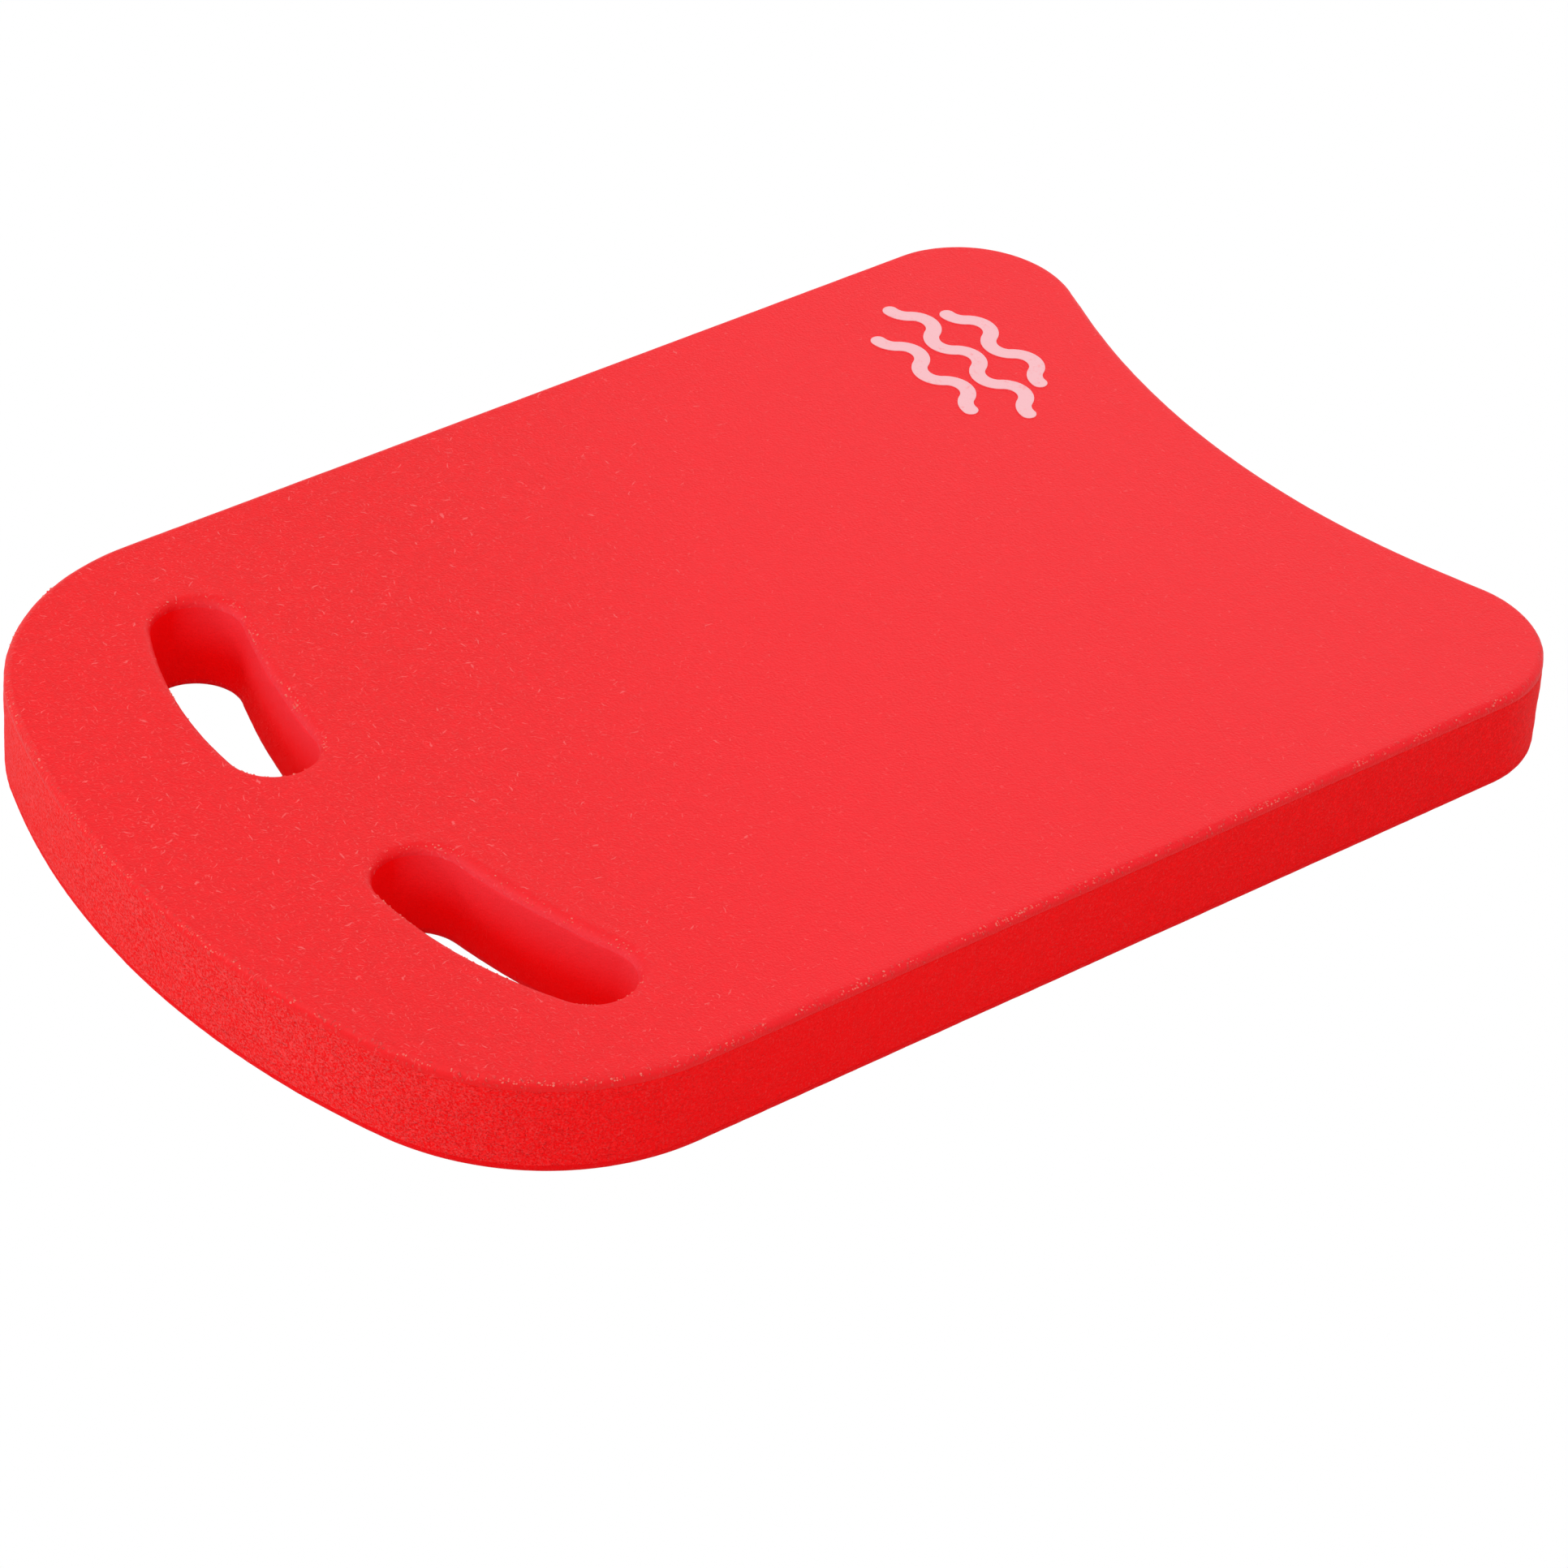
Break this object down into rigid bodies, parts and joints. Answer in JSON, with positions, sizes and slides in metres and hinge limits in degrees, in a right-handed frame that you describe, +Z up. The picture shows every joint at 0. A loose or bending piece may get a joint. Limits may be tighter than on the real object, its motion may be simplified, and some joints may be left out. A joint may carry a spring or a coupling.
{
  "type": "swim kickboard",
  "caption": "Flat foam swim float with a rounded nose, a notched tail and hand slots through it, made as face sheets bonded to a foam core, with a printed wave mark.",
  "frame": {"origin": "middle of the underside, where the board lies on a flat surface", "axes": "+X to the right, +Y from the rounded nose to the notched tail, +Z up out of the printed face"},
  "size_m": [0.3, 0.438, 0.0338],
  "materials": {
    "face_foam": "satin-matte closed-cell foam skin with a fine grain and scattered pale flecks",
    "core_foam": "closed-cell foam with a finely wrinkled, leathery edge",
    "printed_ink": "flat pale pink screen ink"
  },
  "bodies": {
    "root": {"top_sheet": "face_foam", "foam_core": "core_foam", "bottom_sheet": "face_foam", "printed_wave_1": "printed_ink", "printed_wave_2": "printed_ink", "printed_wave_3": "printed_ink"}
  },
  "joints": []
}
